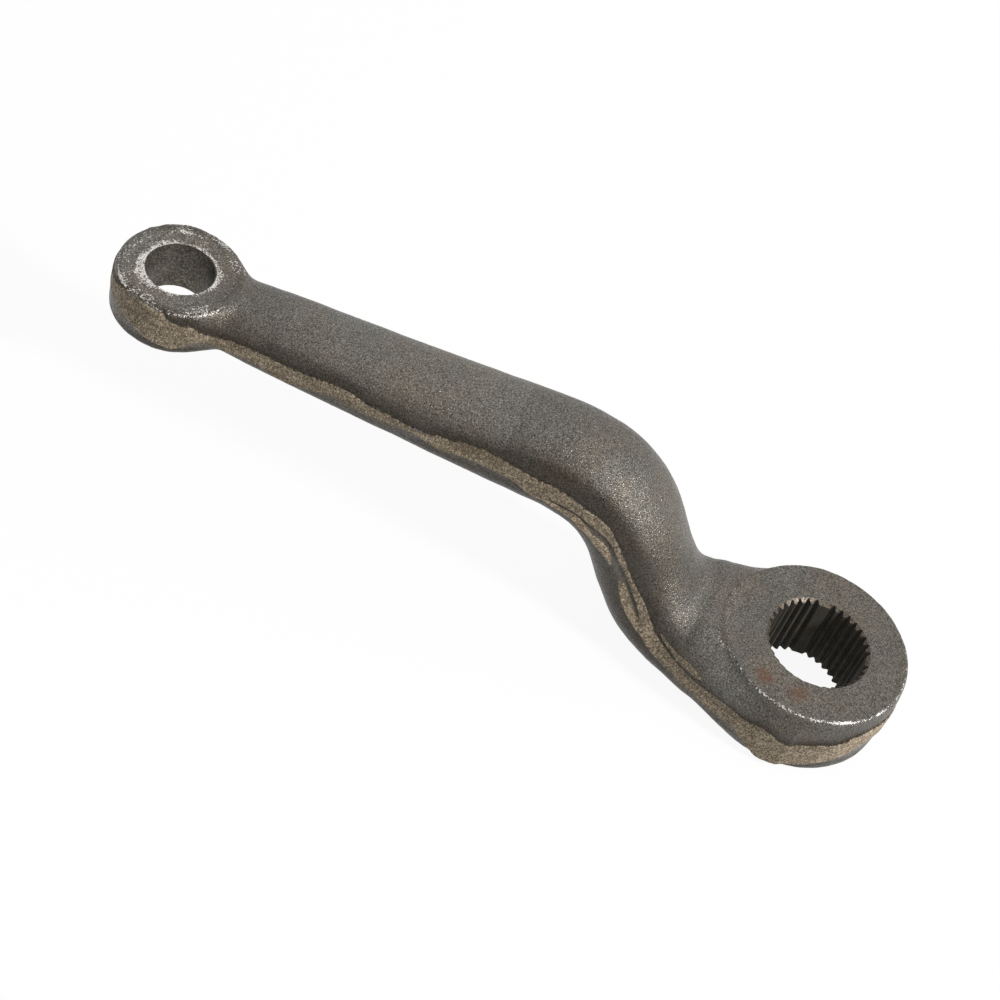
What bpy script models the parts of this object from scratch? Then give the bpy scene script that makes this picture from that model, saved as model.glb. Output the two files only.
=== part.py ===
"""Pitman arm: a one-piece steel forging with a serrated eye, a cranked arm and a tapered eye.

The origin is the centre of the serrated bore in the lower face of its eye. +Z runs up the bore and
+X points to the tapered eye. The two dies close along Z, so the arm is alike on both sides of y = 0.
Metres throughout.
"""

import math
from collections import namedtuple

import bmesh
import bpy
import numpy as np

MM = 0.001

# Overall layout
CENTRES = 210 * MM  # from bore to bore
FACE_OFFSET = 34 * MM  # from the upper face of the shaft eye up to that of the stud eye

# Shaft eye, which sits on the steering box's sector shaft
SHAFT_EYE_THICKNESS = 25 * MM
SHAFT_EYE_FACE_RADIUS = 28 * MM
SHAFT_EYE_LAND_OVERHANG = 1.4 * MM  # how far the trimmed flash reaches past the face's edge
SHAFT_EYE_LAND_BOTTOM = 2 * MM
SHAFT_EYE_LAND_HEIGHT = 11.6 * MM

# Stud eye, which takes the ball stud of the drag link
STUD_EYE_THICKNESS = 16.4 * MM
STUD_EYE_FACE_RADIUS = 18.4 * MM
STUD_EYE_LAND_OVERHANG = 0.9 * MM
STUD_EYE_LAND_BOTTOM = 4.2 * MM
STUD_EYE_LAND_HEIGHT = 9.2 * MM

# Serrated bore: straight-sided grooves at an even pitch, with a blind one at each quarter turn
SERRATION_PITCHES = 36
SERRATION_TURN = math.radians(6.3)  # from +X round to the nearest blind pitch
BLIND_PITCHES = 4
GROOVE_RADIUS = 15.9 * MM
TOOTH_TIP_RADIUS = 14.8 * MM
TOOTH_TIP_SHARE = 0.22  # of the pitch
GROOVE_FLOOR_SHARE = 0.14  # of the pitch
SHAFT_BORE_CHAMFER = 0.4 * MM

# Tapered bore: its large end is in the upper face
TAPER_LARGE_RADIUS = 10 * MM
TAPER_ON_DIAMETER = 1 / 8
STUD_BORE_CHAMFER = 0.3 * MM

# Forging practice
DRAFT = math.radians(7)
SHAFT_EYE_EDGE_RADIUS = 1 * MM
STUD_EYE_EDGE_RADIUS = 1.5 * MM
LAND_STEP = 0.5 * MM  # how far the trimmed flash stands proud of the drafted sides
ARM_LAND_HALF_HEIGHT = 2.2 * MM
ARM_END_INSIDE_EYE = 7 * MM  # from the stud eye's axis to the end of the arm's own solid

# The parting line: level in the shaft eye, up the crank, and slightly bowed along the shank
FOOT_PARTING = 9.5 * MM  # above the shaft eye's lower face
SHANK_PARTING_DEPTH = 8.4 * MM  # below the stud eye's upper face
SHANK_BOW = 4 * MM
FLUSH = 0.1 * MM  # how far the foot stays under the shaft eye's upper face

# A cross-section of the arm, square to its run: its place along X, how much of the climb from the
# foot to the top of the shank its parting line has made, half the width there, the height of the
# dome above it and the depth of the belly below it.
Section = namedtuple("Section", "along climb half_width dome belly")

FOOT_DOME = SHAFT_EYE_THICKNESS - FOOT_PARTING - FLUSH
SHANK_TOP_PARTING = SHAFT_EYE_THICKNESS + FACE_OFFSET - SHANK_PARTING_DEPTH + SHANK_BOW
CLIMB = SHANK_TOP_PARTING - FOOT_PARTING
EYE_END_CLIMB = 1 - SHANK_BOW / CLIMB  # at the stud eye, where the bow has run out
SHANK_START = 110 * MM
SHANK_START_CLIMB = 0.982
NECK_TO_STUD = 30 * MM
NECK = CENTRES - NECK_TO_STUD
MID_SHANK = (SHANK_START + NECK) / 2
MID_SHANK_CLIMB = (SHANK_START_CLIMB + EYE_END_CLIMB) / 2
NECK_CLIMB = 0.25 + 0.75 * EYE_END_CLIMB
LAST_SECTION = CENTRES - 12 * MM

ARM_SECTIONS = (
    Section(0, 0, SHAFT_EYE_FACE_RADIUS, FOOT_DOME - 1 * MM, FOOT_PARTING - FLUSH),
    Section(20 * MM, 0.012, 26.2 * MM, FOOT_DOME - 0.6 * MM, FOOT_PARTING + 0.4 * MM),
    Section(34 * MM, 0.075, 22 * MM, 11.6 * MM, 13.3 * MM),
    Section(45 * MM, 0.18, 17.2 * MM, 12.5 * MM, 17.5 * MM),
    Section(54 * MM, 0.41, 15.3 * MM, 12 * MM, 16.5 * MM),
    Section(63 * MM, 0.715, 16.4 * MM, 12.1 * MM, 14.8 * MM),
    Section(73 * MM, 0.905, 16.5 * MM, 12.8 * MM, 14.2 * MM),
    Section(86 * MM, 0.995, 16.1 * MM, 12.8 * MM, 14.8 * MM),
    Section(SHANK_START, SHANK_START_CLIMB, 14.7 * MM, 13 * MM, 14 * MM),
    Section(MID_SHANK, MID_SHANK_CLIMB, 14 * MM, 11.9 * MM, 11.5 * MM),
    Section(NECK, NECK_CLIMB, 12.6 * MM, 10 * MM, 10.2 * MM),
    Section(LAST_SECTION, EYE_END_CLIMB, 12 * MM, 7.8 * MM, 7 * MM),
)

# Fineness
EYE_STEPS = 60
EDGE_STEPS = 3
RING_SPACING = 4 * MM
RUN_SAMPLES = 600
DOME_POINTS = 10
DOME_POWER = 2.2  # 2 is an ellipse, and more is squarer
BELLY_POWER = 2.4
CUT_PAST = 2 * MM
MERGE = 0.00001


def smooth_through(knots, values, at):
    """A smooth curve through values at knots, whose slope at a knot follows its two neighbours."""
    knots, values = np.asarray(knots), np.asarray(values)
    chord = np.diff(values) / np.diff(knots)
    before, after = np.diff(knots)[:-1], np.diff(knots)[1:]
    inner = (after * chord[:-1] + before * chord[1:]) / (before + after)
    slope = np.concatenate([chord[:1], inner, chord[-1:]])
    index = np.clip(np.searchsorted(knots, at) - 1, 0, len(knots) - 2)
    width = np.diff(knots)[index]
    t = (at - knots[index]) / width
    return (
        (1 + 2 * t) * (1 - t) ** 2 * values[index]
        + t**2 * (3 - 2 * t) * values[index + 1]
        + t * (1 - t) ** 2 * width * slope[index]
        - t**2 * (1 - t) * width * slope[index + 1]
    )


def section_outline(half_width, dome, belly):
    """(y, height) round a section: flash land, dome, the other land and belly, anticlockwise from +Y."""
    side = half_width - LAND_STEP
    land = ARM_LAND_HALF_HEIGHT
    angles = np.linspace(0, math.pi, DOME_POINTS)
    points = [(half_width, -land), (half_width, land)]
    for height, power in ((dome, DOME_POWER), (-belly, BELLY_POWER)):
        away = math.copysign(land, height)
        for angle in angles if height > 0 else angles[::-1]:
            across = math.copysign(abs(math.cos(angle)) ** (2 / power), math.cos(angle))
            up = math.sin(angle) ** (2 / power) if 0 < angle < math.pi else 0
            points.append((side * across, away + (height - away) * up))
        if height > 0:
            points += [(-half_width, land), (-half_width, -land)]
    return points


def arm_solid(collection, material):
    """The cranked arm: its sections lofted square to the parting line's run."""
    along, climb, *sizes = np.array(ARM_SECTIONS).T
    parting = FOOT_PARTING + climb * CLIMB
    fine = np.linspace(0, CENTRES - ARM_END_INSIDE_EYE, RUN_SAMPLES)
    steps = np.hypot(np.diff(fine), np.diff(smooth_through(along, parting, fine)))
    run = np.concatenate([[0], np.cumsum(steps)])
    rings = int(run[-1] / RING_SPACING)
    x = np.interp(np.linspace(0, run[-1], rings), run, fine)
    z = smooth_through(along, parting, x)
    half_width, dome, belly = (smooth_through(along, size, x) for size in sizes)
    rise = np.gradient(z, x)
    mesh = bmesh.new()
    loops = []
    for i in range(rings):
        length = math.hypot(1, rise[i])
        outline = section_outline(half_width[i], dome[i], belly[i])
        loops.append([
            mesh.verts.new((x[i] - up * rise[i] / length, y, z[i] + up / length))
            for y, up in outline
        ])
    for near, far in zip(loops, loops[1:]):
        for i in range(len(near)):
            j = (i + 1) % len(near)
            mesh.faces.new((near[i], far[i], far[j], near[j]))
    mesh.faces.new(loops[0])
    mesh.faces.new(loops[-1])
    bmesh.ops.recalc_face_normals(mesh, faces=mesh.faces)
    return new_object("pitman_arm", mesh, collection, material)


def new_object(name, mesh, collection, material=None):
    data = bpy.data.meshes.new(name)
    mesh.to_mesh(data)
    mesh.free()
    piece = bpy.data.objects.new(name, data)
    collection.objects.link(piece)
    if material:
        data.materials.append(material)
    return piece


def turned(name, profile, centre, collection):
    """A closed solid turned about Z through centre, from a profile of (radius, z) that runs downwards."""
    mesh = bmesh.new()
    points = [mesh.verts.new((radius, 0, z)) for radius, z in profile]
    for upper, lower in zip(points, points[1:]):
        mesh.edges.new((upper, lower))
    piece = new_object(name, mesh, collection)
    piece.location = centre
    screw = piece.modifiers.new("Turn", "SCREW")
    screw.axis = "Z"
    screw.steps = EYE_STEPS
    screw.render_steps = EYE_STEPS
    screw.use_merge_vertices = True
    screw.merge_threshold = MERGE
    return piece


def rounded_corner(corner_radius, corner_z, radius, upper):
    """(radius, z) points that round the outer edge of an eye's face, from its top or down to its bottom."""
    turn = 1 if upper else -1
    centre_r, centre_z = corner_radius - radius, corner_z - turn * radius
    angles = [math.pi / 2 * i / EDGE_STEPS for i in range(EDGE_STEPS + 1)]
    arc = [(centre_r + radius * math.sin(a), centre_z + turn * radius * math.cos(a)) for a in angles]
    return arc if upper else arc[::-1]


def eye_profile(thickness, face_radius, land_overhang, land_bottom, land_height, edge):
    """Down an eye's outside: round edge, drafted side, flash land, drafted side, round edge."""
    land_radius = face_radius + land_overhang
    land_top = min(land_bottom + land_height, thickness - 2 * edge)
    above = face_radius + (thickness - land_top) * math.tan(DRAFT)
    below = face_radius + land_bottom * math.tan(DRAFT)
    return (
        [(0, thickness)]
        + rounded_corner(face_radius, thickness, edge, upper=True)
        + [(min(above, land_radius - LAND_STEP), land_top), (land_radius, land_top)]
        + [(land_radius, land_bottom), (min(below, land_radius - LAND_STEP), land_bottom)]
        + rounded_corner(face_radius, 0, edge, upper=False)
        + [(0, 0)]
    )


def shaft_eye(collection):
    profile = eye_profile(
        SHAFT_EYE_THICKNESS,
        SHAFT_EYE_FACE_RADIUS,
        SHAFT_EYE_LAND_OVERHANG,
        SHAFT_EYE_LAND_BOTTOM,
        SHAFT_EYE_LAND_HEIGHT,
        SHAFT_EYE_EDGE_RADIUS,
    )
    return turned("shaft_eye", profile, (0, 0, 0), collection)


def stud_eye_base():
    return SHAFT_EYE_THICKNESS + FACE_OFFSET - STUD_EYE_THICKNESS


def stud_eye(collection):
    profile = eye_profile(
        STUD_EYE_THICKNESS,
        STUD_EYE_FACE_RADIUS,
        STUD_EYE_LAND_OVERHANG,
        STUD_EYE_LAND_BOTTOM,
        STUD_EYE_LAND_HEIGHT,
        STUD_EYE_EDGE_RADIUS,
    )
    return turned("stud_eye", profile, (CENTRES, 0, stud_eye_base()), collection)


def serration_outline():
    """Corners of the serrated hole. A blind pitch keeps the tooth tip radius all the way across."""
    pitch = 2 * math.pi / SERRATION_PITCHES
    tip, floor = TOOTH_TIP_SHARE * pitch, GROOVE_FLOOR_SHARE * pitch
    blind_every = SERRATION_PITCHES // BLIND_PITCHES
    corners = []
    for i in range(SERRATION_PITCHES):
        groove = SERRATION_TURN + i * pitch
        radius = TOOTH_TIP_RADIUS if i % blind_every == 0 else GROOVE_RADIUS
        corners.append((radius, groove - floor / 2))
        corners.append((radius, groove + floor / 2))
        corners.append((TOOTH_TIP_RADIUS, groove + (pitch - tip) / 2))
        corners.append((TOOTH_TIP_RADIUS, groove + (pitch + tip) / 2))
    return [(r * math.cos(a), r * math.sin(a)) for r, a in corners]


def extruded(name, outline, bottom, top, collection):
    """A flat outline made a closed mesh that reaches from bottom to top."""
    curve = bpy.data.curves.new(name + "_outline", "CURVE")
    curve.dimensions = "2D"
    curve.fill_mode = "BOTH"
    curve.extrude = (top - bottom) / 2
    spline = curve.splines.new("POLY")
    spline.points.add(len(outline) - 1)
    for point, (x, y) in zip(spline.points, outline):
        point.co = (x, y, 0, 1)
    spline.use_cyclic_u = True
    shape = bpy.data.objects.new(name + "_outline", curve)
    collection.objects.link(shape)
    bpy.context.view_layer.update()
    data = bpy.data.meshes.new_from_object(shape.evaluated_get(bpy.context.evaluated_depsgraph_get()))
    mesh = bmesh.new()
    mesh.from_mesh(data)
    bmesh.ops.remove_doubles(mesh, verts=mesh.verts, dist=MERGE)
    bmesh.ops.translate(mesh, verts=mesh.verts, vec=(0, 0, (top + bottom) / 2))
    bmesh.ops.recalc_face_normals(mesh, faces=mesh.faces)
    bpy.data.objects.remove(shape)
    bpy.data.curves.remove(curve)
    bpy.data.meshes.remove(data)
    return new_object(name, mesh, collection)


def shaft_bore_cutters(collection):
    """The serrated hole, and the cone that chamfers its upper end."""
    top = SHAFT_EYE_THICKNESS
    hole = extruded("shaft_bore", serration_outline(), -CUT_PAST, top + CUT_PAST, collection)
    mouth = GROOVE_RADIUS + SHAFT_BORE_CHAMFER
    wide = mouth + CUT_PAST
    point = mouth - TOOTH_TIP_RADIUS + SHAFT_BORE_CHAMFER
    cone = [(0, top + CUT_PAST), (wide, top + CUT_PAST), (mouth - point, top - point), (0, top - point)]
    return [hole, turned("shaft_bore_chamfer", cone, (0, 0, 0), collection)]


def stud_bore_cutter(collection):
    """The tapered hole with its upper chamfer, turned as one profile."""
    slope = TAPER_ON_DIAMETER / 2
    top = STUD_EYE_THICKNESS
    mouth = TAPER_LARGE_RADIUS + STUD_BORE_CHAMFER
    profile = [
        (0, top + CUT_PAST),
        (mouth + CUT_PAST, top + CUT_PAST),
        (TAPER_LARGE_RADIUS, top - STUD_BORE_CHAMFER),
        (TAPER_LARGE_RADIUS - slope * (top - STUD_BORE_CHAMFER + CUT_PAST), -CUT_PAST),
        (0, -CUT_PAST),
    ]
    return turned("stud_bore", profile, (CENTRES, 0, stud_eye_base()), collection)


def as_helper(piece):
    piece.hide_render = True
    piece.display_type = "WIRE"


def combine(target, other, operation):
    as_helper(other)
    boolean = target.modifiers.new(other.name, "BOOLEAN")
    boolean.operation = operation
    boolean.object = other


def forged_steel():
    material = bpy.data.materials.new("forged_steel")
    material.use_nodes = True
    shader = material.node_tree.nodes["Principled BSDF"]
    shader.inputs["Base Color"].default_value = (0.105, 0.098, 0.09, 1)
    shader.inputs["Roughness"].default_value = 0.6
    shader.inputs["Metallic"].default_value = 0.6
    return material


def clear_scene():
    for piece in list(bpy.data.objects):
        bpy.data.objects.remove(piece)


def new_collection(name):
    collection = bpy.data.collections.new(name)
    bpy.context.scene.collection.children.link(collection)
    return collection


def build():
    clear_scene()
    parts = new_collection("pitman_arm")
    helpers = new_collection("helpers")
    arm = arm_solid(parts, forged_steel())
    for eye in (shaft_eye(helpers), stud_eye(helpers)):
        combine(arm, eye, "UNION")
    for cutter in (*shaft_bore_cutters(helpers), stud_bore_cutter(helpers)):
        combine(arm, cutter, "DIFFERENCE")


build()
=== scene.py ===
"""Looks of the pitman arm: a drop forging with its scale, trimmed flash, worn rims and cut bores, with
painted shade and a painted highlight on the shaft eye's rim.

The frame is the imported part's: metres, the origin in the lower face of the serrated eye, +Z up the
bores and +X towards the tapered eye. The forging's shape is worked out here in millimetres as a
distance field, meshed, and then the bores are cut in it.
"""

import math

import bmesh
import bpy
import numpy as np
from mathutils import Matrix, Vector


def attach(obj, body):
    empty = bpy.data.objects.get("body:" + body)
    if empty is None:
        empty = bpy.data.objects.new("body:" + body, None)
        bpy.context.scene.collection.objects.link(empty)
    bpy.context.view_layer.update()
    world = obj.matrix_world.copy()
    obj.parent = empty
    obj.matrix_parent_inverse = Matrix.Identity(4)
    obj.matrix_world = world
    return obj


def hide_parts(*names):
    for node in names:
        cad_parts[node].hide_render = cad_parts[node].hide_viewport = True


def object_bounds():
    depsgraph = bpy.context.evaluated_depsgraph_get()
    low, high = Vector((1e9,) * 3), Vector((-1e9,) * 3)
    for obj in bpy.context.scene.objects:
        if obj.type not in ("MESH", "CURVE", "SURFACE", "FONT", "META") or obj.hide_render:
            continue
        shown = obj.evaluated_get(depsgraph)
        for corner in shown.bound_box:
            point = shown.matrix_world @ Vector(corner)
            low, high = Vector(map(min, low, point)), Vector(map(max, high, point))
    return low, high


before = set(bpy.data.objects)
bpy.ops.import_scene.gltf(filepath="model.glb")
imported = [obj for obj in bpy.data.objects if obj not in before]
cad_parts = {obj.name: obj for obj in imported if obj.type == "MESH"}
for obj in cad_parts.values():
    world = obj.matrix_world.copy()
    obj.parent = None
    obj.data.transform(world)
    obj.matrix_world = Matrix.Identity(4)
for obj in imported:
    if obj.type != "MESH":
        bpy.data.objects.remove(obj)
CAD_BOX = [list(map(float, corner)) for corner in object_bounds()]

MM = 0.001
SEED = 11

# Sizes in millimetres. The heights and the distance between the bores are the part's own, and the
# outer radii were fitted to the photograph's outline, within 0.2 mm of the part's.
CENTRES = 210.0
SHAFT_TOP = 25.0
STUD_TOP = 59.0
STUD_BASE = 42.6
SHAFT_FACE_RADIUS = 28.2
STUD_FACE_RADIUS = 18.3
SHAFT_LAND_RADIUS = 29.3
STUD_LAND_RADIUS = 19.1
LAND_STEP = 0.5
# Middles of the eyes' outsides, which stand a little off their bores
SHAFT_MIDDLE = (0.6, 0.1)
STUD_MIDDLE = (CENTRES - 0.4, 0.15)
SHAFT_END_TRIM = 0.15
# How widely each eye's upper and lower edges are rounded, and how widely the eyes run into the arm
SHAFT_EDGES = (1.1, 1.95)
STUD_EDGES = (1.6, 3.0)
SHAFT_PLAN_BLEND = 6.0
STUD_BLEND = 4.0
DRAFT = math.tan(math.radians(7))
FOOT_PARTING = 9.5
CLIMB = 45.1
STUD_PARTING = FOOT_PARTING + 0.911 * CLIMB

# The serrated bore and the tapered one
PITCHES = 36
BLIND_EVERY = 9
SERRATION_TURN = math.radians(6.3)
GROOVE_RADIUS = 15.9
TOOTH_TIP_RADIUS = 14.8
TIP_SHARE = 0.22
FLOOR_SHARE = 0.14
SHAFT_CHAMFER = 0.15
TAPER_LARGE_RADIUS = 10.0
TAPER_SLOPE = 1 / 16
STUD_CHAMFER = 0.3
CUTTER_SIDES = 144

# The arm's cross-sections: place along X, share of the climb, half width, dome above and belly below
ARM_SECTIONS = (
    (0, 0, 27.4, 15, 9.5),
    (20, 0.012, 24.9, 16, 9.6),
    (34, 0.075, 21.3, 12.7, 12.9),
    (39.5, 0.112, 19, 11, 15.1),
    (45, 0.18, 16.9, 11, 16.75),
    (54, 0.41, 15.2, 11.6, 16.4),
    (63, 0.715, 16.3, 11.9, 15.3),
    (73, 0.905, 16.4, 12.6, 14.4),
    (86, 0.995, 16, 12.6, 14.5),
    (98, 1.0015, 15.2, 12.6, 15.1),
    (110, 0.982, 14.6, 12.7, 14.2),
    (145, 0.9465, 13.6, 11.45, 11.1),
    (180, 0.933, 12.1, 9.6, 9.8),
    (198, 0.911, 11.6, 8.3, 6.8),
)
ARM_END = 203.0
# Flatness of the dome and of the belly along the arm, and at the neck and foot, where they are boxier
DOME_POWER = 2.2
NECK_DOME_POWER = 3.5
BELLY_POWER = 2.4
FOOT_BELLY_POWER = 6.0
# The neck's place along X, and how far it stands to the side that shows
NECK = 27.0
NECK_SHIFT = 1.0

# The trimmed flash on the side that shows: where round the edge, and how far its upper and its lower
# edge stand from the parting line. The run is the place along X, carried on round each eye's end.
NEAR_TOP = (
    (-47, 6.8),
    (-31, 8),
    (-24, 7.6),
    (-21, 6.6),
    (-18.5, 5.1),
    (-12.4, 4.5),
    (-6.8, 3.3),
    (-0.8, 2.8),
    (3, 4.3),
    (6.5, 4.6),
    (9.7, 3.6),
    (16.8, 3.3),
    (23.7, 2.7),
    (30.8, 1.7),
    (38.4, 1),
    (46.7, 0.7),
    (50, 1.1),
    (59, 0.3),
    (64, 0.8),
    (71.5, 2.2),
    (77, 1.2),
    (85, 1.6),
    (95, 1.1),
    (101.4, 1.9),
    (107.7, 2.9),
    (114, 2.9),
    (117, 2.4),
    (119.6, 1.3),
    (123, 1.2),
    (128.5, -0.4),
    (132, 0),
    (138, 1),
    (144, 1.2),
    (150.5, 2.3),
    (160, 2.1),
    (164, 1.4),
    (178, 1.4),
    (190, 1),
    (194, 0.6),
    (196.3, 1.6),
    (198.7, 3.3),
    (200.6, 4.8),
    (203.6, 4.8),
    (206.3, 5.9),
    (209.2, 8.2),
    (212, 8.6),
    (221, 8.3),
    (226, 6.8),
    (231, 5.6),
    (243, 5.2),
)
NEAR_BOTTOM = (
    (-47, -1),
    (-34, 1.2),
    (-27.5, 1),
    (-21.6, -2.1),
    (-15.8, -4.1),
    (-9.3, -6),
    (-3, -7.5),
    (3.1, -7.6),
    (5.6, -6.3),
    (8.1, -4.7),
    (14.2, -2.4),
    (20.5, -3),
    (27.9, -2.5),
    (34.9, -3.3),
    (41.6, -4.6),
    (45, -4.4),
    (48, -2.6),
    (50.6, -1.7),
    (54.6, -1.3),
    (62.5, -1.3),
    (66.3, -0.8),
    (74.3, -2.2),
    (80, -2.3),
    (84, -2.9),
    (88.5, -3.8),
    (91, -5.6),
    (94.5, -5.7),
    (97.2, -4.4),
    (100.5, -3.4),
    (106.6, -2.8),
    (116, -2.8),
    (124.8, -3.5),
    (128.2, -2.3),
    (137, -2),
    (146.5, -2.1),
    (156, -2),
    (162, -3.1),
    (168, -4.8),
    (174, -4.6),
    (181, -3.1),
    (190, -3.4),
    (195.8, -1.9),
    (198, -1.8),
    (201.1, -3.4),
    (204.5, -4.6),
    (207.9, -4),
    (214.2, -2.4),
    (218, -0.7),
    (223, 0.3),
    (243, -0.5),
)
# The far side, which the photograph hides, with both edges in a row
FAR_FLASH = (
    (-47, 6.8, -1),
    (-30, 6.2, -2.4),
    (-18, 4.6, -4.8),
    (-6, 3.6, -6.9),
    (5, 4.2, -6.6),
    (14, 3.7, -4),
    (24, 2.6, -3),
    (36, 1.6, -3.8),
    (46, 1.1, -2.6),
    (58, 0.6, -1.8),
    (68, 1.6, -2.2),
    (78, 2.4, -3.4),
    (90, 1.3, -4.4),
    (102, 0.9, -3),
    (114, 2.1, -2.6),
    (128, 1.8, -3.3),
    (140, 0.7, -2.2),
    (156, 1.6, -2.7),
    (170, 2.2, -3.9),
    (184, 1.2, -2.8),
    (194, 0.9, -2.4),
    (199, 3.2, -3.4),
    (205, 5.4, -4.8),
    (214, 7.4, -3),
    (228, 7, -1),
    (243, 5.2, -0.5),
)
# The run, and the direction from the bore in degrees, at which the run goes over to each eye
RUN_LEAVES_SHAFT_EYE = 11.0
ANGLE_LEAVES_SHAFT_EYE = 67
RUN_MEETS_STUD_EYE = 196.0
ANGLE_MEETS_STUD_EYE = 42
# Smaller ground places beside the first strip on the side that shows, with the same three numbers:
# one goes from the bend down the crank, one lies on the crank, and one stands above it on the foot.
LOWER_STRIP = (
    (61, -4.3, -5.4),
    (64, -2.9, -5.6),
    (66, -2.7, -6.1),
    (69, -3.2, -6.3),
    (71, -3.9, -6.2),
    (74, -3.5, -6.1),
    (78, -3, -6),
    (83.6, -3.8, -6),
    (92, -4.6, -5.9),
)
CRANK_PATCH = (
    (41, -2.4, -4.6),
    (45.2, -2, -4.7),
    (48.1, -2.4, -5.8),
    (51, -2.9, -6.3),
    (53.3, -2.7, -6.1),
    (55.5, -2.3, -5.3),
    (57, -2.6, -4.4),
)
FOOT_STRIP = (
    (28, 4.6, 4),
    (31, 5.2, 3),
    (34.2, 5, 2.3),
    (37.1, 3.9, 1.9),
    (41.1, 3.1, 1.8),
    (44.5, 2.3, 1.8),
)
STRIP_END_SLOPE = 0.5
# How far those places stand in from the first strip's face, under and over the parting line
LOWER_INSET = 0.15
UPPER_INSET = 0.5
# A browner stretch of the first strip's upper half, with a paler ridge under it
STAIN = (101.0, 122.0)
STAIN_BOTTOM = -0.7
RIDGE = -1.6

# The lower die stood a little off the upper one
DIE_SHIFT = (0.3, 0.1)

# Height of the scale's unevenness, from the widest lumps to the finest
SWELL_HEIGHT = 0.10
DENT_HEIGHT = 0.05
GRAIN_HEIGHT = 0.035

# A bright line across the neck: where it starts, how far it goes in X and Y, and its lowest place
LINE_START = (22.5, 18.5)
LINE_REACH = (6.5, -5.5)
LINE_HALF_WIDTH = 0.2
LINE_LOWEST = 23

# Fineness of the mesh. Corners closer than SAME_PLACE are joined after the cuts.
CELL = 0.42
MARGIN = 1.4
BLOCK = 4
NEAR_SHARE = 1.15
TRIANGLES = 176000
SAME_PLACE = 0.02
SETTLE_STEPS = 2
SHARP_ANGLE = math.radians(38)


def smooth_through(knots, values, at):
    """A smooth curve through values at knots, whose slope at a knot follows its two neighbours."""
    knots, values = np.asarray(knots, float), np.asarray(values, float)
    chord = np.diff(values) / np.diff(knots)
    before, after = np.diff(knots)[:-1], np.diff(knots)[1:]
    inner = (after * chord[:-1] + before * chord[1:]) / (before + after)
    slope = np.concatenate([chord[:1], inner, chord[-1:]])
    index = np.clip(np.searchsorted(knots, at) - 1, 0, len(knots) - 2)
    width = np.diff(knots)[index]
    t = np.clip((at - knots[index]) / width, 0, 1)
    return (
        (1 + 2 * t) * (1 - t) ** 2 * values[index]
        + t**2 * (3 - 2 * t) * values[index + 1]
        + t * (1 - t) ** 2 * width * slope[index]
        - t**2 * (1 - t) * width * slope[index + 1]
    )


def smooth_step(low, high, value):
    t = np.clip((value - low) / (high - low), 0, 1)
    return t * t * (3 - 2 * t)


def smooth_min(a, b, blend):
    t = np.clip(0.5 + 0.5 * (b - a) / blend, 0, 1)
    return b + (a - b) * t - blend * t * (1 - t)


def smooth_max(a, b, blend):
    return -smooth_min(-a, -b, blend)


class Lumps:
    """Smooth random bumps between -1 and 1, about one cell of the given size apart."""

    SIDE = 64

    def __init__(self, size, seed):
        self.size = size
        self.grid = np.random.default_rng(seed).uniform(-1, 1, (self.SIDE,) * 3)

    def __call__(self, *place):
        low, share = [], []
        for value in place:
            cell = np.asarray(value) / self.size
            floor = np.floor(cell)
            low.append(floor.astype(int))
            t = cell - floor
            share.append(t * t * (3 - 2 * t))
        total = 0
        for corner in range(8):
            index, weight = [], 1
            for axis in range(3):
                high = corner >> axis & 1
                index.append((low[axis] + high) % self.SIDE)
                weight = weight * (share[axis] if high else 1 - share[axis])
            total = total + weight * self.grid[tuple(index)]
        return total


class Spine:
    """The parting line in the XZ plane, with a table of the nearest point on it."""

    SAMPLES = 1400
    STEP = 0.8

    def __init__(self, low, high):
        along, climb = np.array(ARM_SECTIONS)[:, :2].T
        self.x = np.linspace(0, ARM_END, self.SAMPLES)
        self.z = smooth_through(along, FOOT_PARTING + climb * CLIMB, self.x)
        rise = np.gradient(self.z, self.x)
        length = np.hypot(1, rise)
        tangent = np.stack([1 / length, rise / length])
        self.low = low - 2 * self.STEP
        steps = [int((b - a) / self.STEP) + 4 for a, b in zip(self.low, high)]
        xs = self.low[0] + self.STEP * np.arange(steps[0])
        zs = self.low[1] + self.STEP * np.arange(steps[1])
        self.table = np.empty((3, steps[0], steps[1]))
        for i, x in enumerate(xs):
            away = (x - self.x) ** 2 + (zs[:, None] - self.z) ** 2
            near = away.argmin(1)
            offset = np.stack([x - self.x[near], zs - self.z[near]])
            t = tangent[:, near]
            past_end = (offset * t).sum(0)
            self.table[0, i] = self.x[near] + np.clip(past_end, -0.1, 0.1) * t[0]
            self.table[1, i] = offset[1] * t[0] - offset[0] * t[1]
            self.table[2, i] = np.abs(past_end)

    def __call__(self, x, z):
        """Place along the line, height above it and distance past its ends."""
        u = (x - self.low[0]) / self.STEP
        w = (z - self.low[1]) / self.STEP
        i = np.clip(u.astype(int), 0, self.table.shape[1] - 2)
        k = np.clip(w.astype(int), 0, self.table.shape[2] - 2)
        u, w = u - i, w - k
        t = self.table
        return (
            t[:, i, k] * (1 - u) * (1 - w)
            + t[:, i + 1, k] * u * (1 - w)
            + t[:, i, k + 1] * (1 - u) * w
            + t[:, i + 1, k + 1] * u * w
        )


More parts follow.
